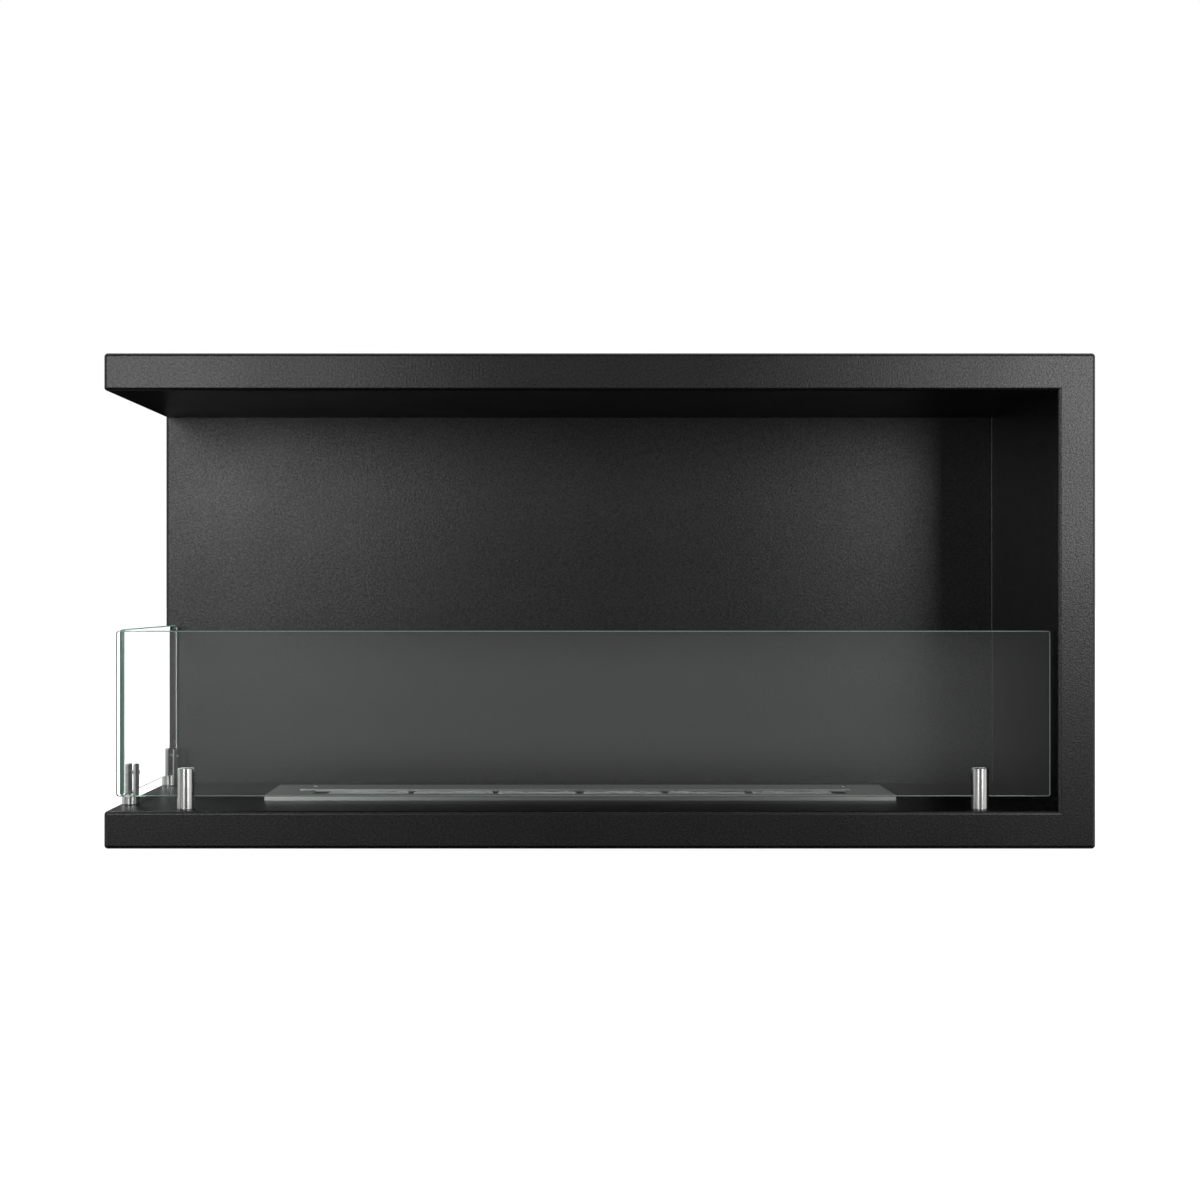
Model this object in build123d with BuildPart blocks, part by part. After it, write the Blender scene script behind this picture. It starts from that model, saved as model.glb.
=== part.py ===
from build123d import *
import os

# Corner bioethanol fireplace insert, open at the front and at the left end.
# Millimetres. X runs to the right, Y to the back and Z up. The origin lies under the
# middle of the casing, on the surface that it stands on.

os.makedirs("parts", exist_ok=True)

# ---------------------------------------------------------------- driving dimensions

# Casing: double-walled box of folded and welded sheet steel.
casing_width = 1000.0
casing_height = 500.0
casing_depth = 300.0
bar_width = 38.0  # the top, right and bottom bars, seen from the front
back_wall_depth = 15.0  # from the fire side of the liner to the back of the rear cover
sheet = 1.5
edge_round = 3.5  # outside radius of the folds and of the ground welds
corner_fold = 1.5  # hollow radius between the back and the right wall
fold_return = 4.0  # how far the right wall turns onto the back
rear_flange = 12.0

# Keyholes in the rear cover, which hang the casing on a wall.
keyhole_spacing = 700.0
keyhole_drop = 60.0  # from the top of the casing to the entries
keyhole_entry = 16.0
keyhole_neck = 8.0
keyhole_rise = 14.0

# Channels that keep the two skins apart.
channel_flange = 15.0
channel_sheet = 1.2
channel_inset = 20.0
channel_spacing = 462.0
floor_channel_gap = 12.0  # from the burner cut-out to the channels beside it

# Glass screens.
glass_thickness = 5.0
glass_height = 170.0
glass_corner = 3.0
glass_arris = 1.0
front_glass_setback = 20.0
front_glass_left_gap = 7.0
front_glass_right_gap = 2.5
side_glass_setback = 12.0
side_glass_front_gap = 5.5
side_glass_rear_gap = 5.0

# Slotted posts that hold the glass.
clamp_diameter = 18.0
clamp_height = 42.0
clamp_foot = 12.0  # solid length under the slot
clamp_chamfer = 1.2
clamp_side_gap = 1.5  # between the glass and each side of the slot
front_clamp_inset = 72.0
side_front_clamp_inset = 36.0
side_rear_clamp_inset = 27.0
rest_pad_thickness = 0.8
rest_pad_inset = 2.0
pad_wall_gap = 0.1  # on each side of the pad's upright wall
set_screw_diameter = 4.0
set_screw_socket = 2.0
set_screw_drop = 8.5  # from the top of the post to the screw
set_screw_proud = 3.0
set_screw_gap = 0.1
stud_diameter = 6.0
nut_flats = 10.0
nut_height = 5.0
screw_clearance = 0.05  # radial, for screws in their threads

# Burner: stainless deck over a fuel tank that hangs through the hearth floor.
deck_length = 670.0
deck_width = 105.0
deck_setback = 97.0
deck_rise = 6.0
deck_sheet = 1.2
deck_fold = 1.6
slot_width = 33.0
slot_front_margin = 12.0
slot_end_margin = 48.5
slot_corner = 2.0
tank_sheet = 1.0
tank_side_margin = 12.5
tank_end_margin = 32.0
tank_corner = 4.0
tank_flange = 8.0
tank_floor_gap = 2.0
cutout_gap = 3.0
baffle_count = 7
baffle_sheet = 1.0
baffle_end_gap = 12.6
baffle_drop = 0.5
baffle_notch_width = 30.0
baffle_notch_height = 6.0
pad_gap = 0.6
pad_drop = 1.0
pad_crown = 0.6

# Sliding lid that chokes and puts out the flame.
lid_sheet = 1.2
lid_overlap = 1.5
lid_park_gap = 0.5
lid_corner = 1.5
ear_reach = 11.5
ear_width = 12.0
hook_hole = 4.5
pin_diameter = 3.0
pin_head = 7.0
pin_head_height = 1.0
pin_head_gap = 0.2
rivet_head = 6.0
rivet_height = 1.0
pin_slot_gap = 0.2
pin_edge_margin = 3.5
pin_rear_margin = 6.5
guide_web = 1.8

# ---------------------------------------------------------------- places that follow

left = -casing_width / 2
right = casing_width / 2
front = -casing_depth / 2
rear = casing_depth / 2
inner_right = right - bar_width
hearth = bar_width
ceiling = casing_height - bar_width
liner_face = rear - back_wall_depth
cover_face = rear - sheet
spare = 2 * edge_round  # how far a cutting block reaches past the casing

burner_x = (left + inner_right) / 2
deck_front = front + deck_setback
deck_y = deck_front + deck_width / 2
deck_top = hearth + deck_rise
deck_under = deck_top - deck_sheet

slot_length = deck_length - 2 * slot_end_margin
slot_front = deck_front + slot_front_margin
slot_rear = slot_front + slot_width
slot_y = slot_front + slot_width / 2

tank_length = deck_length - 2 * tank_end_margin
tank_width = deck_width - 2 * tank_side_margin
tank_bottom = sheet + tank_floor_gap
tank_rim = deck_under - tank_sheet
tank_floor = tank_bottom + tank_sheet
tank_inner_width = tank_width - 2 * tank_sheet

# ---------------------------------------------------------------- casing


def casing_form(inset, welds_ground):
    """The casing as one solid, moved in by inset. Its folds are round, its welded edges only where ground."""
    with BuildPart() as form:
        with BuildSketch(Plane.XY.offset(inset)):
            Rectangle(casing_width - 2 * inset, casing_depth - 2 * inset)
        extrude(amount=casing_height - 2 * inset)
        with BuildSketch(Plane.XY.offset(hearth - inset)):
            with Locations((left - spare, front - spare)):
                Rectangle(
                    inner_right + inset - left + spare,
                    liner_face + inset - front + spare,
                    align=(Align.MIN, Align.MIN),
                )
        extrude(amount=ceiling - hearth + 2 * inset, mode=Mode.SUBTRACT)
        back_corners = form.edges().filter_by(Axis.Z).filter_by_position(Axis.Y, liner_face, cover_face - sheet)
        fillet(back_corners.sort_by(Axis.X)[-1], radius=corner_fold + inset)
        liner_fold = form.edges().filter_by(Axis.Z).filter_by_position(Axis.Y, liner_face, cover_face - sheet)
        rounded = form.edges().group_by(Axis.Y)[0] + liner_fold.sort_by(Axis.X)[:1]
        if welds_ground:
            beside = form.edges().filter_by(Axis.Y).group_by(Axis.X)
            rounded += beside[0] + beside[-1]
        fillet(rounded, radius=edge_round - inset)
    return form.part


def front_block(outline, near, far):
    """A block with this outline, seen from the front, from the depth near to the depth far."""
    with BuildPart() as block:
        with BuildSketch(Plane.XZ.offset(-far)):
            with BuildLine():
                Polyline(*outline, close=True)
            make_face()
        extrude(amount=far - near)
    return block.part


# The skin is the casing's form with the air gap taken out of it, and a flange all round the rear.
with BuildPart() as skin:
    add(casing_form(0, welds_ground=True))
    add(casing_form(sheet, welds_ground=False), mode=Mode.SUBTRACT)
    with BuildSketch(Plane.XZ.offset(-cover_face)):
        with Locations((0, casing_height / 2)):
            Rectangle(casing_width - 2 * sheet, casing_height - 2 * sheet)
            Rectangle(
                casing_width - 2 * sheet - 2 * rear_flange,
                casing_height - 2 * sheet - 2 * rear_flange,
                mode=Mode.SUBTRACT,
            )
    extrude(amount=sheet)

# Top bar: top panel, front face and hearth ceiling folded from one sheet, mitred at the right.
with BuildPart() as top_shell:
    add(
        front_block(
            [
                (left + sheet, ceiling),
                (left + sheet, casing_height + spare),
                (right + spare, casing_height + spare),
                (inner_right, ceiling),
            ],
            front - spare,
            cover_face,
        )
    )
    add(skin.part, mode=Mode.INTERSECT)
top_shell.part.label = "top_shell"
export_step(top_shell.part, "parts/top_shell.step")

# Right bar: side panel, front face and inner wall, which turns onto the back.
with BuildPart() as right_shell:
    add(
        front_block(
            [
                (inner_right - fold_return, hearth),
                (inner_right, hearth),
                (right + spare, -spare),
                (right + spare, casing_height + spare),
                (inner_right, ceiling),
                (inner_right - fold_return, ceiling),
            ],
            front - spare,
            cover_face,
        )
    )
    add(skin.part, mode=Mode.INTERSECT)
right_shell.part.label = "right_shell"
export_step(right_shell.part, "parts/right_shell.step")

# Bottom bar: hearth floor, front face and underside. The floor is cut out for the fuel tank and
# drilled for the studs of the glass posts.
glass_bottom = hearth + clamp_foot + rest_pad_thickness
front_glass_left = left + front_glass_left_gap
front_glass_right = inner_right - front_glass_right_gap
front_glass_y = front + front_glass_setback
side_glass_x = left + side_glass_setback
side_glass_front = front_glass_y + glass_thickness / 2 + side_glass_front_gap
side_glass_rear = liner_face - side_glass_rear_gap

# Each post stands here and turns by this angle. Unturned, its slot runs along X and its set screw looks back.
clamp_seats = {
    "front_left_clamp": Location((front_glass_left + front_clamp_inset, front_glass_y, hearth), (0, 0, 0)),
    "front_right_clamp": Location((front_glass_right - front_clamp_inset, front_glass_y, hearth), (0, 0, 0)),
    "side_front_clamp": Location((side_glass_x, side_glass_front + side_front_clamp_inset, hearth), (0, 0, -90)),
    "side_rear_clamp": Location((side_glass_x, side_glass_rear - side_rear_clamp_inset, hearth), (0, 0, -90)),
}

with BuildPart() as bottom_shell:
    add(
        front_block(
            [
                (left + sheet, hearth),
                (inner_right, hearth),
                (right + spare, -spare),
                (left + sheet, -spare),
            ],
            front - spare,
            cover_face,
        )
    )
    add(skin.part, mode=Mode.INTERSECT)
    with BuildSketch(Plane.XY.offset(hearth)):
        with Locations((burner_x, deck_y)):
            RectangleRounded(tank_length + 2 * cutout_gap, tank_width + 2 * cutout_gap, tank_corner + cutout_gap)
    extrude(amount=-2 * sheet, mode=Mode.SUBTRACT)
    with Locations(*clamp_seats.values()):
        Cylinder(stud_diameter / 2 + screw_clearance, 3 * sheet, mode=Mode.SUBTRACT)
bottom_shell.part.label = "bottom_shell"
export_step(bottom_shell.part, "parts/bottom_shell.step")

# End caps: close the left ends of the top and bottom bars.
with BuildPart() as upper_end_cap:
    add(
        front_block(
            [
                (left - spare, ceiling),
                (left - spare, casing_height + spare),
                (left + sheet, casing_height + spare),
                (left + sheet, ceiling),
            ],
            front - spare,
            cover_face,
        )
    )
    add(skin.part, mode=Mode.INTERSECT)
upper_end_cap.part.label = "upper_end_cap"
export_step(upper_end_cap.part, "parts/upper_end_cap.step")

with BuildPart() as lower_end_cap:
    add(
        front_block(
            [
                (left - spare, hearth),
                (left - spare, -spare),
                (left + sheet, -spare),
                (left + sheet, hearth),
            ],
            front - spare,
            cover_face,
        )
    )
    add(skin.part, mode=Mode.INTERSECT)
lower_end_cap.part.label = "lower_end_cap"
export_step(lower_end_cap.part, "parts/lower_end_cap.step")

# Back liner: the wall behind the flames, folded back at its open left edge.
with BuildPart() as back_liner:
    add(
        front_block(
            [
                (left - spare, hearth),
                (left - spare, ceiling),
                (inner_right - fold_return, ceiling),
                (inner_right - fold_return, hearth),
            ],
            front - spare,
            cover_face,
        )
    )
    add(skin.part, mode=Mode.INTERSECT)
back_liner.part.label = "back_liner"
export_step(back_liner.part, "parts/back_liner.step")

# Rear cover: flat sheet welded to the rear flange, with two keyholes to hang it by.
with BuildPart() as rear_cover:
    add(
        front_block(
            [
                (left - spare, -spare),
                (left - spare, casing_height + spare),
                (right + spare, casing_height + spare),
                (right + spare, -spare),
            ],
            cover_face,
            rear + spare,
        )
    )
    add(skin.part, mode=Mode.INTERSECT)
    with BuildSketch(Plane.XZ.offset(-rear)):
        with Locations(*[(side * keyhole_spacing / 2, casing_height - keyhole_drop) for side in (-1, 1)]):
            Circle(keyhole_entry / 2)
            with Locations((0, keyhole_rise / 2)):
                SlotCenterToCenter(keyhole_rise, keyhole_neck, rotation=90)
    extrude(amount=sheet, mode=Mode.SUBTRACT)
rear_cover.part.label = "rear_cover"
export_step(rear_cover.part, "parts/rear_cover.step")

# ---------------------------------------------------------------- channels between the skins


def channel(height, length):
    """A folded channel that stands on its lower flange, with its web in the plane X = 0 and its length along Y."""
    with BuildPart() as folded:
        with BuildSketch(Plane.XZ.offset(-length / 2)):
            Rectangle(channel_flange, height, align=(Align.MIN, Align.MIN))
            with Locations((channel_sheet, channel_sheet)):
                Rectangle(channel_flange, height - 2 * channel_sheet, align=(Align.MIN, Align.MIN), mode=Mode.SUBTRACT)
        extrude(amount=length)
        outer_folds = folded.edges().filter_by(Axis.Y).group_by(Axis.X)
        fillet(outer_folds[0], radius=channel_sheet)
    return folded.part


bar_gap = bar_width - 2 * sheet
back_gap = back_wall_depth - 2 * sheet
channel_length = liner_face - front - 2 * channel_inset
channel_y = (liner_face + front) / 2

with BuildPart() as ceiling_channels:
    with Locations(*[(burner_x + side * channel_spacing / 2, channel_y, ceiling + sheet) for side in (-1, 1)]):
        add(channel(bar_gap, channel_length))
ceiling_channels.part.label = "ceiling_channels"
export_step(ceiling_channels.part, "parts/ceiling_channels.step")

with BuildPart() as floor_channels:
    floor_channel_reach = tank_length / 2 + cutout_gap + floor_channel_gap
    with Locations(
        Location((burner_x - floor_channel_reach, channel_y, sheet)),
        Location((burner_x + floor_channel_reach, channel_y, hearth - sheet), (0, 180, 0)),
    ):
        add(channel(bar_gap, channel_length))
floor_channels.part.label = "floor_channels"
export_step(floor_channels.part, "parts/floor_channels.step")

with BuildPart() as back_channels:
    upright = Plane(origin=(0, liner_face + sheet, casing_height / 2), x_dir=(1, 0, 0), z_dir=(0, 1, 0))
    with Locations(upright):
        with Locations(*[(burner_x + side * channel_spacing / 2, 0, 0) for side in (-1, 1)]):
            add(channel(back_gap, ceiling - hearth - 2 * channel_inset))
back_channels.part.label = "back_channels"
export_step(back_channels.part, "parts/back_channels.step")

# ---------------------------------------------------------------- glass screens


def glass_pane(length):
    """A toughened pane that stands in the plane Y = 0 on its middle, with round corners and ground edges."""
    with BuildPart() as pane:
        with BuildSketch(Plane.XZ.offset(-glass_thickness / 2)):
            with Locations((0, glass_height / 2)):
                RectangleRounded(length, glass_height, glass_corner)
        extrude(amount=glass_thickness)
        broad_faces = pane.faces().filter_by(Axis.Y)
        chamfer(broad_faces.edges(), length=glass_arris)
    return pane.part


front_glass_x = (front_glass_left + front_glass_right) / 2
with BuildPart() as front_glass:
    with Locations((front_glass_x, front_glass_y, glass_bottom)):
        add(glass_pane(front_glass_right - front_glass_left))
front_glass.part.label = "front_glass"
export_step(front_glass.part, "parts/front_glass.step")

side_glass_y = (side_glass_front + side_glass_rear) / 2
with BuildPart() as side_glass:
    with Locations(Location((side_glass_x, side_glass_y, glass_bottom), (0, 0, -90))):
        add(glass_pane(side_glass_rear - side_glass_front))
side_glass.part.label = "side_glass"
export_step(side_glass.part, "parts/side_glass.step")

# ---------------------------------------------------------------- glass posts

clamp_slot = glass_thickness + 2 * clamp_side_gap
set_screw_height = clamp_height - set_screw_drop
set_screw_tip = glass_thickness / 2 + set_screw_gap
set_screw_back = clamp_diameter / 2 + set_screw_proud

# One post, turned with the stud that goes through the floor, slotted from above, drilled for its set screw.
with BuildPart() as post:
    with BuildSketch():
        Circle(clamp_diameter / 2)
    extrude(amount=clamp_height)
    chamfer(post.edges().sort_by(Axis.Z)[-1], length=clamp_chamfer)
    with BuildSketch(Plane.XY.offset(clamp_height)):
        Rectangle(2 * clamp_diameter, clamp_slot)
    extrude(amount=-(clamp_height - clamp_foot), mode=Mode.SUBTRACT)
    with BuildSketch(Plane.XZ):
        with Locations((0, set_screw_height)):
            Circle(set_screw_diameter / 2 + screw_clearance)
    extrude(amount=-clamp_diameter, mode=Mode.SUBTRACT)
    with BuildSketch():
        Circle(stud_diameter / 2)
    extrude(amount=-(sheet + nut_height))

for name, seat in clamp_seats.items():
    with BuildPart() as clamp:
        with Locations(seat):
            add(post.part)
    clamp.part.label = name
    export_step(clamp.part, f"parts/{name}.step")

# Socket set screws that press the glass against the outer jaw.
with BuildPart() as set_screw:
    with BuildSketch(Plane.XZ.offset(-set_screw_tip)):
        with Locations((0, set_screw_height)):
            Circle(set_screw_diameter / 2)
    extrude(amount=-(set_screw_back - set_screw_tip))
    with BuildSketch(Plane.XZ.offset(-set_screw_back)):
        with Locations((0, set_screw_height)):
            RegularPolygon(set_screw_socket / 2, 6, major_radius=False)
    extrude(amount=set_screw_socket, mode=Mode.SUBTRACT)

with BuildPart() as clamp_set_screws:
    with Locations(*clamp_seats.values()):
        add(set_screw.part)
clamp_set_screws.part.label = "clamp_set_screws"
export_step(clamp_set_screws.part, "parts/clamp_set_screws.step")

# Soft pads that line each slot: the glass stands on the foot, and the screw presses it against the upright wall.
with BuildPart() as rest_pad:
    pad_run = clamp_diameter - 2 * rest_pad_inset
    pad_back = -clamp_slot / 2 + pad_wall_gap
    with BuildSketch(Plane.YZ.offset(-pad_run / 2)):
        with Locations((pad_back, clamp_foot)):
            Rectangle(glass_thickness / 2 - pad_back, rest_pad_thickness, align=(Align.MIN, Align.MIN))
            Rectangle(
                clamp_side_gap - 2 * pad_wall_gap,
                clamp_height - clamp_foot - rest_pad_inset,
                align=(Align.MIN, Align.MIN),
            )
    extrude(amount=pad_run)

with BuildPart() as glass_rest_pads:
    with Locations(*clamp_seats.values()):
        add(rest_pad.part)
glass_rest_pads.part.label = "glass_rest_pads"
export_step(glass_rest_pads.part, "parts/glass_rest_pads.step")

# Nuts welded under the hearth floor, which take the posts' studs.
with BuildPart() as weld_nut:
    with BuildSketch(Plane.XY.offset(-sheet)):
        RegularPolygon(nut_flats / 2, 6, major_radius=False)
        Circle(stud_diameter / 2 + screw_clearance, mode=Mode.SUBTRACT)
    extrude(amount=-nut_height)

with BuildPart() as clamp_weld_nuts:
    with Locations(*clamp_seats.values()):
        add(weld_nut.part)
clamp_weld_nuts.part.label = "clamp_weld_nuts"
export_step(clamp_weld_nuts.part, "parts/clamp_weld_nuts.step")

# ---------------------------------------------------------------- burner

lid_width = slot_width + 2 * lid_overlap
lid_front = slot_rear + lid_park_gap
lid_travel = slot_width + lid_park_gap + lid_overlap
guide_slot_width = pin_diameter + 2 * pin_slot_gap
guide_inset = slot_end_margin - guide_web - guide_slot_width / 2
guide_reach = deck_length / 2 - guide_inset
pin_y = lid_front + lid_width - pin_rear_margin
guide_y = pin_y - lid_travel / 2

# Deck: brushed sheet folded down on all four sides, slotted for the flame and for the lid's two pins.
with BuildPart() as burner_deck:
    with BuildSketch(Plane.XY.offset(hearth)):
        with Locations((burner_x, deck_y)):
            Rectangle(deck_length, deck_width)
    extrude(amount=deck_rise)
    fillet(burner_deck.faces().sort_by(Axis.Z)[-1].edges(), radius=deck_fold)
    with BuildSketch(Plane.XY.offset(hearth)):
        with Locations((burner_x, deck_y)):
            Rectangle(deck_length - 2 * deck_sheet, deck_width - 2 * deck_sheet)
    extrude(amount=deck_under - hearth, mode=Mode.SUBTRACT)
    with BuildSketch(Plane.XY.offset(deck_top)):
        with Locations((burner_x, slot_y)):
            RectangleRounded(slot_length, slot_width, slot_corner)
        with Locations(*[(burner_x + side * guide_reach, guide_y) for side in (-1, 1)]):
            SlotCenterToCenter(lid_travel, guide_slot_width, rotation=90)
    extrude(amount=-deck_sheet, mode=Mode.SUBTRACT)
burner_deck.part.label = "burner_deck"
export_step(burner_deck.part, "parts/burner_deck.step")

# Fuel tank: welded tray that hangs from the deck by its flange.
with BuildPart() as fuel_tank:
    with BuildSketch(Plane.XY.offset(tank_bottom)):
        with Locations((burner_x, deck_y)):
            RectangleRounded(tank_length, tank_width, tank_corner)
    extrude(amount=deck_under - tank_bottom)
    with BuildSketch(Plane.XY.offset(tank_rim)):
        with Locations((burner_x, deck_y)):
            RectangleRounded(tank_length + 2 * tank_flange, tank_width + 2 * tank_flange, tank_corner + tank_flange)
    extrude(amount=tank_sheet)
    with BuildSketch(Plane.XY.offset(tank_floor)):
        with Locations((burner_x, deck_y)):
            RectangleRounded(tank_length - 2 * tank_sheet, tank_inner_width, tank_corner - tank_sheet)
    extrude(amount=deck_under - tank_floor, mode=Mode.SUBTRACT)
fuel_tank.part.label = "fuel_tank"
export_step(fuel_tank.part, "parts/fuel_tank.step")

# Baffles: upright plates across the tank, notched at the foot so that the fuel finds one level.
baffle_pitch = (slot_length - 2 * baffle_end_gap) / (baffle_count - 1)
baffle_top = tank_rim - baffle_drop
with BuildPart() as tank_baffles:
    with BuildSketch(Plane.XY.offset(tank_floor)):
        with Locations((burner_x, deck_y)):
            with GridLocations(baffle_pitch, 0, baffle_count, 1):
                Rectangle(baffle_sheet, tank_inner_width)
    extrude(amount=baffle_top - tank_floor)
    with BuildSketch(Plane.XY.offset(tank_floor)):
        with Locations((burner_x, deck_y)):
            Rectangle(tank_length, baffle_notch_width)
    extrude(amount=baffle_notch_height, mode=Mode.SUBTRACT)
tank_baffles.part.label = "tank_baffles"
export_step(tank_baffles.part, "parts/tank_baffles.step")

# Fibre pads: ceramic wool that soaks up the fuel, one pad between each two baffles, crowned at the top.
pad_length = baffle_pitch - baffle_sheet - 2 * pad_gap
pad_width = tank_inner_width - 2 * pad_gap
pad_edge = tank_rim - pad_drop
with BuildPart() as wool_pad:
    with BuildSketch(Plane.YZ.offset(-pad_length / 2)):
        with BuildLine():
            Polyline(
                (-pad_width / 2, pad_edge),
                (-pad_width / 2, tank_floor),
                (pad_width / 2, tank_floor),
                (pad_width / 2, pad_edge),
            )
            ThreePointArc((pad_width / 2, pad_edge), (0, pad_edge + pad_crown), (-pad_width / 2, pad_edge))
        make_face()
    extrude(amount=pad_length)

with BuildPart() as fibre_pads:
    with Locations((burner_x, deck_y)):
        with GridLocations(baffle_pitch, 0, baffle_count - 1, 1):
            add(wool_pad.part)
fibre_pads.part.label = "fibre_pads"
export_step(fibre_pads.part, "parts/fibre_pads.step")

# Sliding lid: parked open behind the slot. A hook in the hole of its left ear pulls it to the front.
lid_length = 2 * (guide_reach + pin_edge_margin)
with BuildPart() as sliding_lid:
    with BuildSketch(Plane.XY.offset(deck_top)):
        with Locations((burner_x, lid_front + lid_width / 2)):
            RectangleRounded(lid_length, lid_width, lid_corner)
        with Locations((burner_x - lid_length / 2 + lid_corner, lid_front + ear_width / 2)):
            RectangleRounded(2 * ear_reach + lid_corner, ear_width, lid_corner)
        with Locations((burner_x - lid_length / 2 - ear_reach / 2, lid_front + ear_width / 2)):
            Circle(hook_hole / 2, mode=Mode.SUBTRACT)
        with Locations(*[(burner_x + side * guide_reach, pin_y) for side in (-1, 1)]):
            Circle(pin_diameter / 2 + screw_clearance, mode=Mode.SUBTRACT)
    extrude(amount=lid_sheet)
sliding_lid.part.label = "sliding_lid"
export_step(sliding_lid.part, "parts/sliding_lid.step")

# Guide pins: riveted through the lid, headed under the deck so that the lid can't lift off.
pin_foot = deck_under - pin_head_gap - pin_head_height
with BuildPart() as guide_pin:
    with BuildSketch(Plane.XY.offset(pin_foot)):
        Circle(pin_head / 2)
    extrude(amount=pin_head_height)
    with BuildSketch(Plane.XY.offset(pin_foot)):
        Circle(pin_diameter / 2)
    extrude(amount=deck_top + lid_sheet - pin_foot)
    with BuildSketch(Plane.XY.offset(deck_top + lid_sheet)):
        Circle(rivet_head / 2)
    extrude(amount=rivet_height)

with BuildPart() as lid_guide_pins:
    with Locations(*[(burner_x + side * guide_reach, pin_y) for side in (-1, 1)]):
        add(guide_pin.part)
lid_guide_pins.part.label = "lid_guide_pins"
export_step(lid_guide_pins.part, "parts/lid_guide_pins.step")
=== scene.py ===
import math

import bmesh
import bpy
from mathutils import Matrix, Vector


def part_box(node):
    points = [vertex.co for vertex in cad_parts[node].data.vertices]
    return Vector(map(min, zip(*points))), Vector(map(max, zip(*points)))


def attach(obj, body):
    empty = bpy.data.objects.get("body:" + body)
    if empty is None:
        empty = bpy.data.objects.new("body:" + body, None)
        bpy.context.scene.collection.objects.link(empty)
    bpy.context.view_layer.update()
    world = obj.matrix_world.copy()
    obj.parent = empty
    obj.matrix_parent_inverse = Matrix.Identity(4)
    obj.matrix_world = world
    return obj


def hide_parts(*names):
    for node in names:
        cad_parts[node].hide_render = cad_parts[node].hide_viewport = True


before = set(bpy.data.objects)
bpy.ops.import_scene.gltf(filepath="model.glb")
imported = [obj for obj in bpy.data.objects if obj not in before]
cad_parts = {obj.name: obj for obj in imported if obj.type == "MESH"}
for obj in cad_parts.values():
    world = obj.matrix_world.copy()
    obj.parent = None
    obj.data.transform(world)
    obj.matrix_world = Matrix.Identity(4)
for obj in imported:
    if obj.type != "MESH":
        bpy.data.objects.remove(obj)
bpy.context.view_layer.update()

# ---------------------------------------------------------------- casing
# The casing is double-walled: folded and welded sheet steel, its welds ground flush, and then
# powder coated satin black in one piece. The coat has a fine orange peel and hardly any colour.


def new_finish(name):
    """An empty surface finish: its tree, its Principled shader and the place on the piece in metres."""
    material = bpy.data.materials.new(name)
    material.use_nodes = True
    tree = material.node_tree
    tree.nodes.clear()
    output = tree.nodes.new("ShaderNodeOutputMaterial")
    shader = tree.nodes.new("ShaderNodeBsdfPrincipled")
    tree.links.new(shader.outputs["BSDF"], output.inputs["Surface"])
    place = tree.nodes.new("ShaderNodeTexCoord").outputs["Object"]
    return material, tree, shader, place


def grain(tree, place, scale, detail=2.0, rough=0.5):
    """Noise from 0 to 1, with about scale grains to the metre."""
    noise = tree.nodes.new("ShaderNodeTexNoise")
    noise.inputs["Scale"].default_value = scale
    noise.inputs["Detail"].default_value = detail
    noise.inputs["Roughness"].default_value = rough
    tree.links.new(place, noise.inputs["Vector"])
    return noise.outputs["Fac"]


def spread(tree, value, low, high, start=0.3, end=0.7):
    """Stretches a value that runs from start to end so that it runs from low to high."""
    node = tree.nodes.new("ShaderNodeMapRange")
    node.inputs["From Min"].default_value = start
    node.inputs["From Max"].default_value = end
    node.inputs["To Min"].default_value = low
    node.inputs["To Max"].default_value = high
    tree.links.new(value, node.inputs["Value"])
    return node.outputs["Result"]


def tint(tree, value, first, second):
    """A colour that goes from first to second as value goes from 0 to 1."""
    node = tree.nodes.new("ShaderNodeMix")
    node.data_type = "RGBA"
    node.inputs["A"].default_value = (*first, 1.0)
    node.inputs["B"].default_value = (*second, 1.0)
    tree.links.new(value, node.inputs["Factor"])
    return node.outputs["Result"]


def relief(tree, height, depth, under=None):
    """Raises the surface by depth metres where height is 1, over another relief if one is given."""
    bump = tree.nodes.new("ShaderNodeBump")
    bump.inputs["Strength"].default_value = 1.0
    bump.inputs["Distance"].default_value = depth
    tree.links.new(height, bump.inputs["Height"])
    if under is not None:
        tree.links.new(under, bump.inputs["Normal"])
    return bump.outputs["Normal"]


def coat(nodes, material):
    """Gives CAD nodes this finish."""
    for node in nodes:
        for material_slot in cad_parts[node].material_slots:
            material_slot.material = material


coat_black = (0.0010, 0.0010, 0.0010)
coat_grey = (0.0024, 0.0024, 0.0024)
peel_depth = 0.00016
speck_depth = 0.000004

powder_coat, tree, shader, place = new_finish("satin_black_powder_coat")
peel = grain(tree, place, 560.0, 3.0)
cloud = grain(tree, place, 9.0, 2.0)
peel_colour = tint(tree, spread(tree, peel, 0.0, 1.0), coat_black, coat_grey)
tree.links.new(peel_colour, shader.inputs["Base Color"])
tree.links.new(spread(tree, cloud, 0.30, 0.34), shader.inputs["Roughness"])
glint = grain(tree, place, 480.0, 2.0)
tree.links.new(spread(tree, glint, 0.36, 0.64), shader.inputs["Specular IOR Level"])
shader.inputs["IOR"].default_value = 1.6
specks = relief(tree, grain(tree, place, 1500.0, 1.0), speck_depth)
tree.links.new(relief(tree, peel, peel_depth, specks), shader.inputs["Normal"])
coat(["top_shell", "right_shell", "bottom_shell", "upper_end_cap", "lower_end_cap"], powder_coat)
coat(["back_liner", "rear_cover"], powder_coat)

# ---------------------------------------------------------------- channels and weld nuts
# Folded channels of galvanised sheet keep the two skins of the casing apart. The nuts for the glass
# posts are welded under the hearth floor before the casing is closed. Zinc spangle shows on both.

zinc_dark = (0.33, 0.35, 0.37)
zinc_light = (0.52, 0.54, 0.56)
zinc_relief = 0.00001

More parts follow.
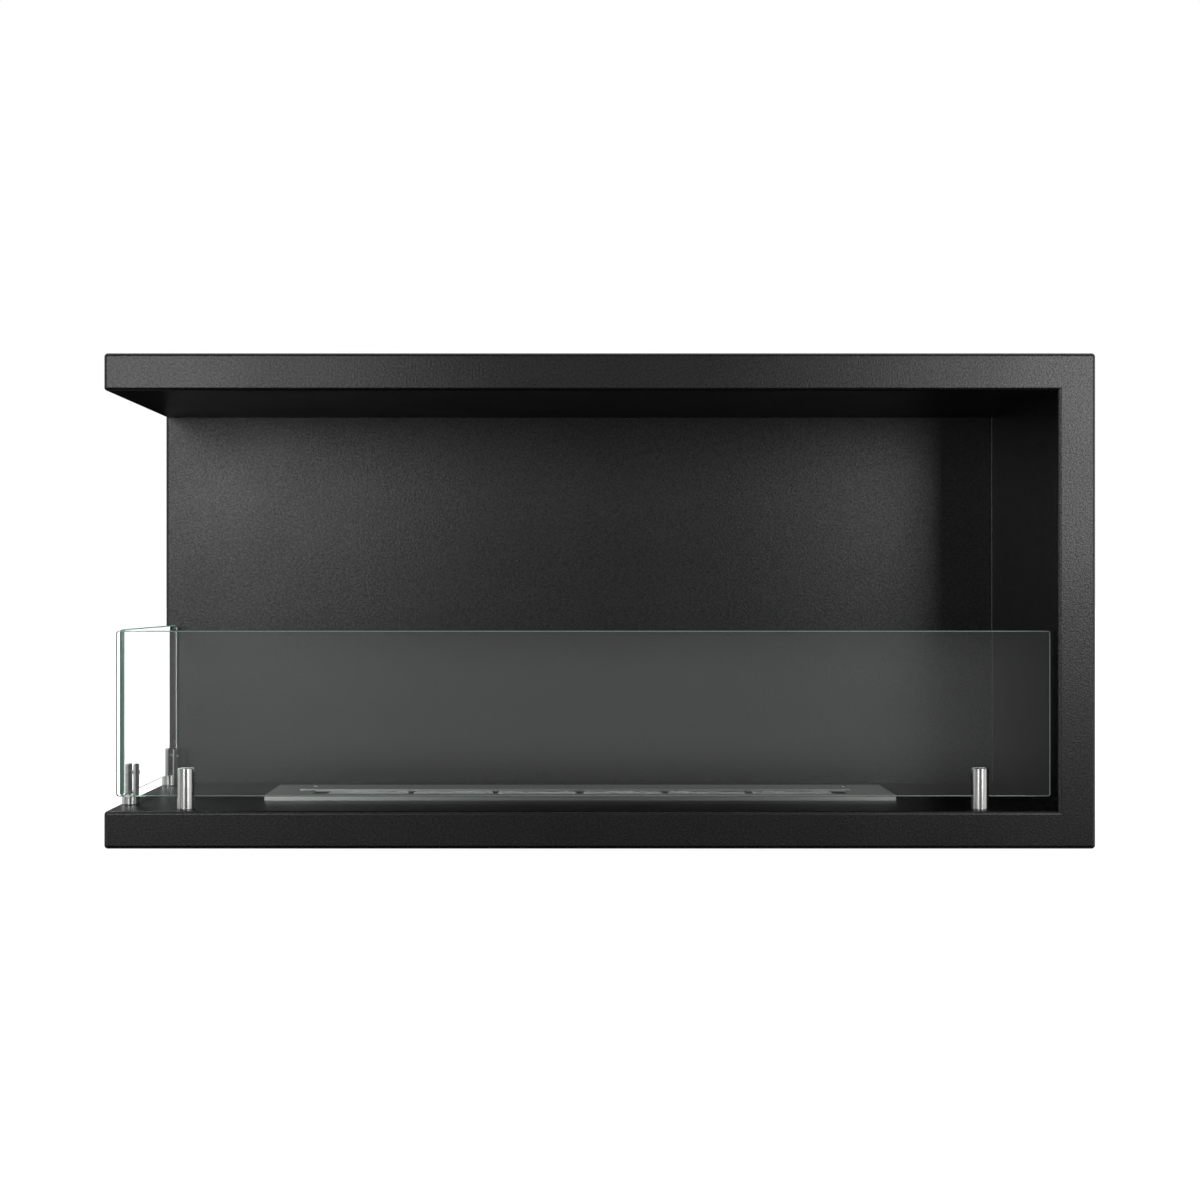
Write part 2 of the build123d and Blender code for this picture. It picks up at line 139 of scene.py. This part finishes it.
zinc, tree, shader, place = new_finish("galvanised_sheet")
spangle = tree.nodes.new("ShaderNodeTexVoronoi")
spangle.inputs["Scale"].default_value = 160.0
tree.links.new(place, spangle.inputs["Vector"])
facet = tree.nodes.new("ShaderNodeSeparateColor")
tree.links.new(spangle.outputs["Color"], facet.inputs["Color"])
tree.links.new(tint(tree, facet.outputs["Red"], zinc_dark, zinc_light), shader.inputs["Base Color"])
tree.links.new(spread(tree, facet.outputs["Green"], 0.32, 0.5, 0.0, 1.0), shader.inputs["Roughness"])
tree.links.new(relief(tree, grain(tree, place, 700.0), zinc_relief), shader.inputs["Normal"])
shader.inputs["Metallic"].default_value = 1.0
coat(["ceiling_channels", "floor_channels", "back_channels", "clamp_weld_nuts"], zinc)

# ---------------------------------------------------------------- glass screens
# Two panes of 5 mm clear toughened float glass: a long one at the front and a short one at the open
# left end. Their corners are rounded, all edges are ground and polished, and they stand in the posts.

pane_corner = 0.003
pane_arris = 0.001
ground_off_left = 0.001
ground_off_top = 0.0012
hair = 1e-5


def deselect_all():
    bpy.ops.object.select_all(action="DESELECT")


def settle(piece):
    """Puts the piece's place, turn and size into its mesh, and leaves its object at the origin."""
    deselect_all()
    piece.select_set(True)
    bpy.context.view_layer.objects.active = piece
    bpy.ops.object.transform_apply(location=True, rotation=True, scale=True)


def add_block(centre, size):
    """Adds a block around this centre, as long as size says along X, Y and Z."""
    deselect_all()
    bpy.ops.mesh.primitive_cube_add(size=1.0, location=centre, scale=size)
    return bpy.context.object


def select_edges(piece, wanted):
    """In edit mode, selects just the edges whose two ends wanted says yes to."""
    bpy.ops.mesh.select_mode(type="EDGE")
    bpy.ops.mesh.select_all(action="DESELECT")
    shape = bmesh.from_edit_mesh(piece.data)
    for edge in shape.edges:
        if wanted(edge.verts[0].co, edge.verts[1].co):
            edge.select_set(True)
    bmesh.update_edit_mesh(piece.data)


def smooth(piece, angle):
    """Shades the piece smooth where its faces meet at less than this angle, in degrees."""
    deselect_all()
    piece.select_set(True)
    bpy.context.view_layer.objects.active = piece
    bpy.ops.object.shade_smooth_by_angle(angle=math.radians(angle))


def glass_pane(name, node, thin, trim_left=0.0, trim_top=0.0):
    """A pane in the place of a CAD pane, thin along axis number thin, and ground down where trimmed."""
    low, high = [list(corner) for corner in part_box(node)]
    low[0] += trim_left
    high[2] -= trim_top
    centre = [(a + b) / 2 for a, b in zip(low, high)]
    pane = add_block(centre, [b - a for a, b in zip(low, high)])
    pane.name = name
    settle(pane)
    bpy.ops.object.mode_set(mode="EDIT")
    select_edges(pane, lambda a, b: abs(a[thin] - b[thin]) > hair)
    bpy.ops.mesh.bevel(offset=pane_corner, segments=8, affect="EDGES")
    half = (high[thin] - low[thin]) / 2 - hair
    select_edges(
        pane,
        lambda a, b: abs(a[thin] - b[thin]) < hair and abs(a[thin] - centre[thin]) > half,
    )
    bpy.ops.mesh.bevel(offset=pane_arris, segments=1, affect="EDGES")
    bpy.ops.object.mode_set(mode="OBJECT")
    smooth(pane, 30)
    pane.data.materials.append(float_glass)
    pane.data.materials.append(ground_edge)
    for face in pane.data.polygons:
        if abs(face.normal[thin]) < 0.99:
            face.material_index = 1
    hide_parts(node)
    return pane


def math_of(tree, operation, *values):
    """A math node over values, each a number or a socket."""
    node = tree.nodes.new("ShaderNodeMath")
    node.operation = operation
    for socket, value in zip(node.inputs, values):
        if isinstance(value, (int, float)):
            socket.default_value = value
        else:
            tree.links.new(value, socket)
    return node.outputs[0]


def between(tree, share, first, second):
    """A shader that goes from first to second as share goes from 0 to 1."""
    mix = tree.nodes.new("ShaderNodeMixShader")
    tree.links.new(share, mix.inputs["Fac"])
    tree.links.new(first, mix.inputs[1])
    tree.links.new(second, mix.inputs[2])
    return mix.outputs["Shader"]


def stretch(tree, place, scale):
    """The place multiplied by scale along X, Y and Z, for grain that runs one way."""
    mapping = tree.nodes.new("ShaderNodeMapping")
    mapping.inputs["Scale"].default_value = scale
    tree.links.new(place, mapping.inputs["Vector"])
    return mapping.outputs["Vector"]


float_glass, tree, shader, place = new_finish("clear_float_glass")
shader.inputs["Base Color"].default_value = (1.0, 1.0, 1.0, 1.0)
shader.inputs["Transmission Weight"].default_value = 1.0
shader.inputs["Roughness"].default_value = 0.0
shader.inputs["IOR"].default_value = 1.5
output = shader.outputs["BSDF"].links[0].to_node
tree.links.new(relief(tree, grain(tree, place, 30.0, 1.0), 0.0000015), shader.inputs["Normal"])
# Light falls straight through the panes onto what stands behind them.
clear = tree.nodes.new("ShaderNodeBsdfTransparent")
clear.inputs["Color"].default_value = (0.92, 0.94, 0.93, 1.0)
path = tree.nodes.new("ShaderNodeLightPath")
blurred = math_of(tree, "SUBTRACT", path.outputs["Is Glossy Ray"], path.outputs["Is Singular Ray"])
soft = math_of(tree, "MAXIMUM", path.outputs["Is Shadow Ray"], path.outputs["Is Diffuse Ray"])
lit_through = math_of(tree, "MAXIMUM", soft, blurred)
either = between(tree, lit_through, shader.outputs["BSDF"], clear.outputs["BSDF"])
tree.links.new(either, output.inputs["Surface"])
iron_tint = tree.nodes.new("ShaderNodeVolumeAbsorption")
iron_tint.inputs["Color"].default_value = (0.35, 0.62, 0.52, 1.0)
iron_tint.inputs["Density"].default_value = 8.0
tree.links.new(iron_tint.outputs["Volume"], output.inputs["Volume"])

# The edges and their arrises are ground fine and polished, and scatter a little of the light.
ground_edge = float_glass.copy()
ground_edge.name = "ground_glass_edge"
for node in ground_edge.node_tree.nodes:
    if node.type == "BSDF_PRINCIPLED":
        node.inputs["Base Color"].default_value = (0.74, 1.0, 0.9, 1.0)
        node.inputs["Transmission Weight"].default_value = 0.62
        node.inputs["Roughness"].default_value = 0.05

# Seen through its whole length, the short pane's polished end looks deep green.
deep_green = (0.075, 0.215, 0.150)
pale_green = (0.110, 0.285, 0.205)
green_edge, tree, shader, place = new_finish("green_polished_edge")
depth_of_green = grain(tree, stretch(tree, place, (120.0, 120.0, 4.0)), 1.0)
tree.links.new(tint(tree, depth_of_green, deep_green, pale_green), shader.inputs["Base Color"])
tree.links.new(spread(tree, grain(tree, place, 600.0), 0.12, 0.2), shader.inputs["Roughness"])
shader.inputs["IOR"].default_value = 1.5

front_pane = glass_pane("front_pane", "front_glass", 1, ground_off_left, ground_off_top)
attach(front_pane, "front_screen")
side_pane = glass_pane("side_pane", "side_glass", 0)
side_pane.data.materials.append(green_edge)
for face in side_pane.data.polygons:
    if face.normal.y < -0.9:
        face.material_index = 2
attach(side_pane, "side_screen")

# ---------------------------------------------------------------- glass posts
# Four round posts turned from stainless bar, 18 mm across, with a stud at the foot that screws into
# the hearth floor. Each is slotted from above for the glass and drilled from inside for a set screw.

post_radius = 0.009
post_height = 0.042
top_round = 0.0012
foot_round = 0.0006
stud_radius = 0.003
stud_length = 0.0065
slot_foot = 0.012
slot_outer = -0.004
slot_inner = 0.005
slot_cutter_width = 0.04
slot_cutter_height = 0.05
screw_height = 0.0335
screw_hole_radius = 0.00205
screw_hole_length = 0.02
broken_edge = 0.00015
hearth_top = 0.038
lying = math.pi / 2


def add_bar(centre, radius, length, sides, lean=0.0):
    """Adds an upright round or hexagonal bar around this centre, leant over about X."""
    deselect_all()
    bpy.ops.mesh.primitive_cylinder_add(
        vertices=sides, radius=radius, depth=length, location=centre, rotation=(lean, 0, 0)
    )
    return bpy.context.object


def select_faces(piece, wanted):
    """In edit mode, selects just the faces that wanted says yes to."""
    bpy.ops.mesh.select_mode(type="FACE")
    bpy.ops.mesh.select_all(action="DESELECT")
    shape = bmesh.from_edit_mesh(piece.data)
    for face in shape.faces:
        if wanted(face):
            face.select_set(True)
    bmesh.update_edit_mesh(piece.data)


def is_round_foot(face):
    """Says yes to a bar's round end face that looks down."""
    return face.normal.z < -0.9 and len(face.verts) > 40


def extrude(way):
    """Extrudes the selected faces this way, in metres along X, Y and Z."""
    bpy.ops.mesh.extrude_region_move(TRANSFORM_OT_translate={"value": way})


def cut_out(piece, cutter):
    """Cuts the cutter's shape out of the piece and throws the cutter away."""
    bpy.context.view_layer.objects.active = piece
    cut = piece.modifiers.new("cut", "BOOLEAN")
    cut.operation = "DIFFERENCE"
    cut.solver = "EXACT"
    cut.object = cutter
    bpy.ops.object.modifier_apply(modifier=cut.name)
    bpy.data.objects.remove(cutter)


def apply_all(piece):
    """Applies the piece's modifiers from the first to the last."""
    bpy.context.view_layer.objects.active = piece
    for name in [modifier.name for modifier in piece.modifiers]:
        bpy.ops.object.modifier_apply(modifier=name)


post = add_bar((0, 0, post_height / 2), post_radius, post_height, 96)
settle(post)
bpy.ops.object.mode_set(mode="EDIT")
select_edges(post, lambda a, b: min(a.z, b.z) > post_height - hair)
bpy.ops.mesh.bevel(offset=top_round, segments=3, affect="EDGES")
select_edges(post, lambda a, b: max(a.z, b.z) < hair)
bpy.ops.mesh.bevel(offset=foot_round, segments=2, affect="EDGES")
select_faces(post, is_round_foot)
bpy.ops.mesh.inset(thickness=post_radius - foot_round - stud_radius)
extrude((0, 0, -stud_length))
bpy.ops.object.mode_set(mode="OBJECT")
slot_cutter = add_block(
    (0, (slot_outer + slot_inner) / 2, slot_foot + slot_cutter_height / 2),
    (slot_cutter_width, slot_inner - slot_outer, slot_cutter_height),
)
cut_out(post, slot_cutter)
drill_middle = (0, screw_hole_length / 2, screw_height)
cut_out(post, add_bar(drill_middle, screw_hole_radius, screw_hole_length, 32, lying))
burr = post.modifiers.new("broken_edges", "BEVEL")
burr.width = broken_edge
burr.segments = 2
burr.limit_method = "ANGLE"
burr.angle_limit = math.radians(40)
apply_all(post)
smooth(post, 15)


def spread_along(tree, shader, line):
    """Fine grooves spread the gloss along this line and leave it sharp across it."""
    along = tree.nodes.new("ShaderNodeCombineXYZ")
    for axis, share in zip(along.inputs, line):
        axis.default_value = share
    tree.links.new(along.outputs["Vector"], shader.inputs["Tangent"])
    shader.inputs["Anisotropic"].default_value = 0.8


turned_dark = (0.64, 0.64, 0.63)
turned_light = (0.74, 0.74, 0.73)
ring_depth = 0.0000012

turned_steel, tree, shader, place = new_finish("turned_stainless_steel")
lathe_rings = grain(tree, stretch(tree, place, (15.0, 15.0, 9000.0)), 1.0, 3.0)
tree.links.new(tint(tree, lathe_rings, turned_dark, turned_light), shader.inputs["Base Color"])
tree.links.new(spread(tree, lathe_rings, 0.28, 0.36), shader.inputs["Roughness"])
tree.links.new(relief(tree, lathe_rings, ring_depth), shader.inputs["Normal"])
spread_along(tree, shader, (0.02, 0.03, 1.0))
shader.inputs["Metallic"].default_value = 1.0
post.data.materials.append(turned_steel)

# Where each post stands on the hearth, and how far it is turned.
post_seats = {
    "front_left_clamp": (-0.421, -0.130, 0.0),
    "front_right_clamp": (0.3875, -0.130, 0.0),
    "side_front_clamp": (-0.488, -0.086, -math.pi / 2),
    "side_rear_clamp": (-0.488, 0.103, -math.pi / 2),
}


def copy_to(pattern, name, place, turn=0.0):
    """A copy of the pattern with its own mesh, turned about Z and moved to its place."""
    copy = pattern.copy()
    copy.data = pattern.data.copy()
    copy.name = name
    bpy.context.collection.objects.link(copy)
    copy.location = place
    copy.rotation_euler = (0, 0, turn)
    settle(copy)
    return copy


for node, (x, y, turn) in post_seats.items():
    standing = copy_to(post, node.replace("clamp", "post"), (x, y, hearth_top), turn)
    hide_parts(node)
    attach(standing, "casing")
bpy.data.objects.remove(post)

# ---------------------------------------------------------------- slot liners
# A short angle of black silicone rubber lines each slot: the glass stands on its foot, and the set
# screw presses it against its upright, so that glass never touches steel. It is cut from strip.

liner_width = 0.006
liner_depth = 0.0065
liner_middle = -0.00065
liner_foot = 0.0008
liner_bend = -0.0026
upright_length = 0.0272
upright_round = 0.0003
rubber_dark = (0.012, 0.012, 0.012)
rubber_light = (0.024, 0.024, 0.024)

liner_size = (liner_width, liner_depth, liner_foot)
liner = add_block((0, liner_middle, slot_foot + liner_foot / 2), liner_size)
settle(liner)
bpy.ops.object.mode_set(mode="EDIT")
bpy.ops.mesh.select_all(action="SELECT")
bpy.ops.mesh.bisect(plane_co=(0, liner_bend, 0), plane_no=(0, 1, 0))
select_faces(liner, lambda face: face.normal.z > 0.9 and face.calc_center_median().y < liner_bend)
extrude((0, 0, upright_length))
select_edges(liner, lambda a, b: min(a.z, b.z) > screw_height and abs(a.y - b.y) < hair)
bpy.ops.mesh.bevel(offset=upright_round, segments=2, affect="EDGES")
bpy.ops.object.mode_set(mode="OBJECT")
smooth(liner, 40)

black_rubber, tree, shader, place = new_finish("black_silicone_rubber")
bloom = grain(tree, place, 900.0)
tree.links.new(tint(tree, bloom, rubber_dark, rubber_light), shader.inputs["Base Color"])
tree.links.new(spread(tree, bloom, 0.4, 0.5), shader.inputs["Roughness"])
tree.links.new(relief(tree, grain(tree, place, 2500.0), 0.00001), shader.inputs["Normal"])
liner.data.materials.append(black_rubber)

for node, (x, y, turn) in post_seats.items():
    one = copy_to(liner, node.replace("clamp", "liner"), (x, y, hearth_top), turn)
    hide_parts("glass_rest_pads")
    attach(one, "casing")
bpy.data.objects.remove(liner)

# ---------------------------------------------------------------- set screws
# An M4 stainless set screw with a hex socket goes through the inner jaw of each post and presses
# the glass against the outer jaw. One millimetre of it stands out of the post.

screw_tip = 0.0028
tip_length = 0.0004
thread_root = 0.0017
thread_crest = 0.002
thread_pitch = 0.0007
thread_turns = 9
plain_end = 0.0006
socket_middle = 0.0099
socket_radius = 0.00115
socket_length = 0.004
screw_dark = (0.50, 0.50, 0.49)
screw_light = (0.62, 0.62, 0.61)

screw = add_bar((0, screw_tip, screw_height), thread_root, tip_length, 32, -lying)
settle(screw)
bpy.ops.object.mode_set(mode="EDIT")
select_faces(screw, lambda face: face.normal.y > 0.9)
for turn_of_thread in range(thread_turns):
    for wider in (thread_crest / thread_root, thread_root / thread_crest):
        extrude((0, thread_pitch / 2, 0))
        bpy.ops.transform.resize(value=(wider, 1, wider), center_override=(0, 0, screw_height))
extrude((0, plain_end, 0))
bpy.ops.object.mode_set(mode="OBJECT")
cut_out(screw, add_bar((0, socket_middle, screw_height), socket_radius, socket_length, 6, lying))
smooth(screw, 25)

screw_steel, tree, shader, place = new_finish("plain_stainless_steel")
screw_colour = tint(tree, grain(tree, place, 2500.0), screw_dark, screw_light)
tree.links.new(screw_colour, shader.inputs["Base Color"])
tree.links.new(spread(tree, grain(tree, place, 1200.0), 0.24, 0.36), shader.inputs["Roughness"])
tree.links.new(relief(tree, grain(tree, place, 4000.0), 0.000003), shader.inputs["Normal"])
shader.inputs["Metallic"].default_value = 1.0
screw.data.materials.append(screw_steel)

for node, (x, y, turn) in post_seats.items():
    one = copy_to(screw, node.replace("clamp", "screw"), (x, y, hearth_top), turn)
    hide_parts("clamp_set_screws")
    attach(one, "casing")
bpy.data.objects.remove(screw)

# ---------------------------------------------------------------- burner
# The burner is brushed stainless sheet: a deck folded down on all four sides, the welded fuel tank
# under it, the cross plates in the tank, and the lid that slides over the flame slot.

brushed_dark = (0.60, 0.60, 0.59)
brushed_light = (0.75, 0.75, 0.74)
scratch_depth = 0.0000025

brushed_steel, tree, shader, place = new_finish("brushed_stainless_steel")
brush = grain(tree, stretch(tree, place, (9.0, 2600.0, 2600.0)), 1.0, 3.0, 0.6)
long_brush = grain(tree, stretch(tree, place, (3.0, 500.0, 500.0)), 1.0, 2.0)
tree.links.new(tint(tree, brush, brushed_dark, brushed_light), shader.inputs["Base Color"])
tree.links.new(spread(tree, long_brush, 0.38, 0.48), shader.inputs["Roughness"])
tree.links.new(relief(tree, brush, scratch_depth), shader.inputs["Normal"])
spread_along(tree, shader, (1.0, 0.03, 0.02))
shader.inputs["Anisotropic Rotation"].default_value = 0.25
shader.inputs["Metallic"].default_value = 1.0
coat(["burner_deck", "fuel_tank", "tank_baffles", "sliding_lid"], brushed_steel)

# ---------------------------------------------------------------- ceramic wool
# Six blocks of white ceramic wool are stuffed between the cross plates of the tank and soak up the
# fuel. Their tops are torn and lumpy, and stand a little higher in the flame slot. Their colour turns
# grey in large random patches.

wool_white = (0.98, 0.98, 0.97)
wool_grey = (0.50, 0.495, 0.48)
block_count = 6
block_pitch = 0.0913
row_middle_x = -0.019
row_middle_y = -0.0005
block_middle_z = 0.0235
block_size = (0.0855, 0.0735, 0.0355)
lump_size = 0.007
lump_height = 0.0036
slot_front_y = -0.041
slot_rear_y = -0.008
slot_margin = 0.0008
slot_bulge = 0.0014
bulge_above = 0.04
highest_in_slot = 0.0437
highest_under_deck = 0.0423
lowest_in_tank = 0.0047
half_bay_x = 0.0447
half_bay_y = 0.0386

wool, tree, shader, place = new_finish("white_ceramic_wool")
fibres = grain(tree, stretch(tree, place, (400.0, 1400.0, 1400.0)), 1.0, 4.0, 0.7)
tufts = grain(tree, place, 260.0, 4.0, 0.65)
patch_noise = grain(tree, stretch(tree, place, (34.0, 90.0, 90.0)), 1.0, 2.0, 0.5)
# The wool's colour goes from white to grey over large random patches of noise.
patchy_colour = tint(tree, spread(tree, patch_noise, 0.0, 1.0, 0.38, 0.60), wool_grey, wool_white)
tree.links.new(patchy_colour, shader.inputs["Base Color"])
shader.inputs["Roughness"].default_value = 0.9
shader.inputs["Sheen Weight"].default_value = 1.0
tree.links.new(relief(tree, fibres, 0.0004, relief(tree, tufts, 0.003)), shader.inputs["Normal"])

lumps = bpy.data.textures.new("wool_lumps", "CLOUDS")
lumps.noise_scale = lump_size
lumps.noise_depth = 3

for number in range(block_count):
    x = row_middle_x + (number - (block_count - 1) / 2) * block_pitch
    pad = add_block((x, row_middle_y, block_middle_z), block_size)
    pad.name = f"wool_block_{number + 1}"
    settle(pad)
    bpy.ops.object.mode_set(mode="EDIT")
    bpy.ops.mesh.select_all(action="SELECT")
    bpy.ops.mesh.subdivide(number_cuts=9)
    select_faces(pad, lambda face: face.normal.z > 0.9)
    bpy.ops.transform.vertex_random(offset=0.0016, uniform=0.3, normal=0.4, seed=11 + number)
    bpy.ops.object.mode_set(mode="OBJECT")
    rounded = pad.modifiers.new("rounded", "SUBSURF")
    rounded.levels = rounded.render_levels = 2
    torn = pad.modifiers.new("torn", "DISPLACE")
    torn.texture = lumps
    torn.texture_coords = "LOCAL"
    torn.strength = lump_height
    torn.mid_level = 0.45
    apply_all(pad)
    # The tank, its cross plates and the deck hold the wool in, and it swells in the flame slot.
    for vertex in pad.data.vertices:
        spot = vertex.co
        in_slot = min(spot.y - slot_front_y, slot_rear_y - spot.y) > slot_margin
        if in_slot and spot.z > bulge_above:
            spot.z += slot_bulge
        highest = highest_in_slot if in_slot else highest_under_deck
        spot.z = max(min(spot.z, highest), lowest_in_tank)
        spot.x = max(min(spot.x, x + half_bay_x), x - half_bay_x)
        spot.y = max(min(spot.y, row_middle_y + half_bay_y), row_middle_y - half_bay_y)
    deselect_all()
    pad.select_set(True)
    bpy.ops.object.shade_smooth()
    pad.data.materials.append(wool)
    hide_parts("fibre_pads")
    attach(pad, "burner")

# ---------------------------------------------------------------- lid rivets
# Two stainless rivets go through the lid's rear corners and down the guide slots of the deck. Their
# heads under the deck keep the lid from lifting off.

head_radius = 0.003
head_height = 0.001
head_middle = 0.0457
head_dome = 0.0008
shank_radius = 0.0015
shank_length = 0.0026
shank_end = 0.04259
lip = 0.00001
lower_head_radius = 0.0035
lower_head_height = 0.00099
rivet_y = 0.022

rivet = add_bar((0, 0, head_middle), head_radius, head_height, 48)
settle(rivet)
bpy.ops.object.mode_set(mode="EDIT")
select_edges(rivet, lambda a, b: min(a.z, b.z) > head_middle + head_height / 2 - hair)
bpy.ops.mesh.bevel(offset=head_dome, segments=5, affect="EDGES")
select_faces(rivet, is_round_foot)
bpy.ops.mesh.inset(thickness=head_radius - shank_radius)
extrude((0, 0, -shank_length))
extrude((0, 0, -lip))
wider = lower_head_radius / shank_radius
bpy.ops.transform.resize(value=(wider, wider, 1), center_override=(0, 0, shank_end))
extrude((0, 0, -lower_head_height))
bpy.ops.object.mode_set(mode="OBJECT")
smooth(rivet, 30)
rivet.data.materials.append(screw_steel)

for side, x in (("left", -0.309), ("right", 0.271)):
    riveted = copy_to(rivet, f"lid_rivet_{side}", (x, rivet_y, 0))
    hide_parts("lid_guide_pins")
    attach(riveted, "lid")
bpy.data.objects.remove(rivet)

# ---------------------------------------------------------------- studio
# A white floor and a white background, two large soft boxes in front at the left and the right, a
# dimmer middle where the camera stands, and two smaller soft boxes behind.

floor_drop = 0.0002
floor_grey = (0.5, 0.5, 0.5, 1.0)
floor_glow = 0.82
glow_through_glass = 1.25
white_through_glass = 1.05
plain_white = (1.0, 1.0, 1.0, 1.0)


def times(first, second):
    return math_of(tree, "MULTIPLY", first, second)


def plus(first, second):
    return math_of(tree, "ADD", first, second)


deselect_all()
bpy.ops.mesh.primitive_plane_add(size=60.0, location=(0, 0, -floor_drop))
floor = bpy.context.object
floor.name = "studio_floor"
settle(floor)
floor_paint = bpy.data.materials.new("white_studio_floor")
floor_paint.use_nodes = True
tree = floor_paint.node_tree
tree.nodes.clear()
output = tree.nodes.new("ShaderNodeOutputMaterial")
matt = tree.nodes.new("ShaderNodeBsdfDiffuse")
matt.inputs["Color"].default_value = floor_grey
glow = tree.nodes.new("ShaderNodeEmission")
path = tree.nodes.new("ShaderNodeLightPath")
through = path.outputs["Is Transmission Ray"]
tree.links.new(plus(floor_glow, times(through, glow_through_glass)), glow.inputs["Strength"])
# The finishes don't mirror the floor, and so they don't mirror it through a pane either.
mirrored = times(through, math_of(tree, "MINIMUM", path.outputs["Glossy Depth"], 1.0))
painted = tree.nodes.new("ShaderNodeAddShader")
tree.links.new(matt.outputs["BSDF"], painted.inputs[0])
tree.links.new(glow.outputs["Emission"], painted.inputs[1])
open_floor = tree.nodes.new("ShaderNodeBsdfTransparent")
unseen = between(tree, mirrored, painted.outputs["Shader"], open_floor.outputs["BSDF"])
tree.links.new(unseen, output.inputs["Surface"])
floor.data.materials.append(floor_paint)
floor.visible_glossy = False
floor.visible_diffuse = False
floor.visible_shadow = False


def soft_box(name, place, aim, size, radiance):
    """A rectangular light that faces a point, unseen by the camera."""
    deselect_all()
    bpy.ops.object.light_add(type="AREA", location=place)
    box = bpy.context.object
    box.name = name
    box.data.shape = "RECTANGLE"
    box.data.size, box.data.size_y = size
    box.data.energy = radiance * math.pi * size[0] * size[1]
    towards = [b - a for a, b in zip(place, aim)]
    box.rotation_euler = (
        math.atan2(math.hypot(towards[0], towards[1]), -towards[2]),
        0,
        math.atan2(towards[1], towards[0]) - math.pi / 2,
    )
    box.visible_camera = False


soft_box("soft_box_left", (-1.07, -2.59, 0.8), (0.0, 0.0, 0.8), (0.76, 1.0), 4.8)
soft_box("soft_box_right", (1.35, -2.45, 0.8), (0.0, 0.0, 0.8), (0.84, 1.0), 5.7)
soft_box("soft_box_rear_left", (-1.7, 1.9, 1.5), (0.0, 0.0, 0.25), (1.2, 1.0), 2.0)
soft_box("soft_box_rear_right", (1.7, 1.9, 1.5), (0.0, 0.0, 0.25), (1.2, 1.0), 2.0)

world = bpy.data.worlds.new("studio")
bpy.context.scene.world = world
world.use_nodes = True
tree = world.node_tree
tree.nodes.clear()


def rise(value, start, end, low=0.0, high=1.0):
    """Goes softly from low to high while value goes from start to end."""
    node = tree.nodes.new("ShaderNodeMapRange")
    node.interpolation_type = "SMOOTHSTEP"
    node.inputs["From Min"].default_value = start
    node.inputs["From Max"].default_value = end
    node.inputs["To Min"].default_value = low
    node.inputs["To Max"].default_value = high
    tree.links.new(value, node.inputs["Value"])
    return node.outputs["Result"]


def light_around(strength):
    """White light from all around, as strong as this socket says."""
    light = tree.nodes.new("ShaderNodeBackground")
    light.inputs["Color"].default_value = plain_white
    tree.links.new(strength, light.inputs["Strength"])
    return light.outputs["Background"]


# The room by direction: bearing is 0 at the camera's side and grows to the right, height is 0 at the
# horizon, both in degrees.
direction = tree.nodes.new("ShaderNodeSeparateXYZ")
tree.links.new(tree.nodes.new("ShaderNodeTexCoord").outputs["Generated"], direction.inputs[0])
east, north, up = direction.outputs
degrees = 180.0 / math.pi
bearing = times(math_of(tree, "ARCTAN2", east, times(north, -1.0)), degrees)
height = times(math_of(tree, "ARCSINE", up), degrees)
aside = math_of(tree, "ABSOLUTE", bearing)

# Pale walls at both sides, and none low down straight behind.
walls = plus(rise(bearing, 40.0, 60.0, 0.0, 0.85), rise(bearing, -60.0, -85.0, 0.0, 0.9))
behind = times(rise(aside, 145.0, 165.0), rise(height, 35.0, 15.0))
walls = times(walls, math_of(tree, "SUBTRACT", 1.0, behind))
walls = times(walls, rise(height, -12.0, -5.0, 0.3, 1.0))

# A low band of light in front that grows to both sides, and a faint patch where the camera stands.
strip = plus(rise(bearing, -4.0, -34.0, 0.16, 1.25), rise(bearing, 14.0, 46.0, 0.0, 1.05))
strip = times(strip, rise(aside, 72.0, 50.0))
strip = times(strip, times(rise(height, -11.5, -8.0), rise(height, 4.0, 0.5)))
middle = times(rise(bearing, -22.0, -6.0, 0.0, 0.5), rise(bearing, 17.0, 9.0))
middle = times(middle, times(rise(height, -7.2, -4.2), rise(height, 0.5, -2.8)))
strip = plus(strip, middle)
ceiling = rise(height, 40.0, 60.0, 0.0, 0.4)
room = plus(plus(walls, strip), ceiling)

# White is what is seen past the fireplace and straight through its glass. The finishes mirror the room.
path = tree.nodes.new("ShaderNodeLightPath")
unmirrored = math_of(tree, "SUBTRACT", 1.0, math_of(tree, "MINIMUM", path.outputs["Glossy Depth"], 1.0))
straight = times(path.outputs["Is Transmission Ray"], unmirrored)
seen = math_of(tree, "MAXIMUM", path.outputs["Is Camera Ray"], straight)
dim = light_around(room)
white = light_around(plus(1.0, times(straight, white_through_glass)))
output = tree.nodes.new("ShaderNodeOutputWorld")
tree.links.new(between(tree, seen, dim, white), output.inputs["Surface"])

bpy.context.scene.view_settings.view_transform = "Standard"

# ---------------------------------------------------------------- camera
# The camera stands level, 1.84 m in front of the casing's face and a little above its middle. It is
# 32 mm to the left of the middle, and its lens and shift give the photo's frame.

deselect_all()
bpy.ops.object.camera_add(location=(-0.032, -1.992, 0.258), rotation=(math.pi / 2, 0, 0))
camera = bpy.context.object
camera.data.lens = 54.84
camera.data.sensor_width = 36.0
camera.data.shift_x = 0.02667
camera.data.shift_y = -0.00583
bpy.context.scene.camera = camera
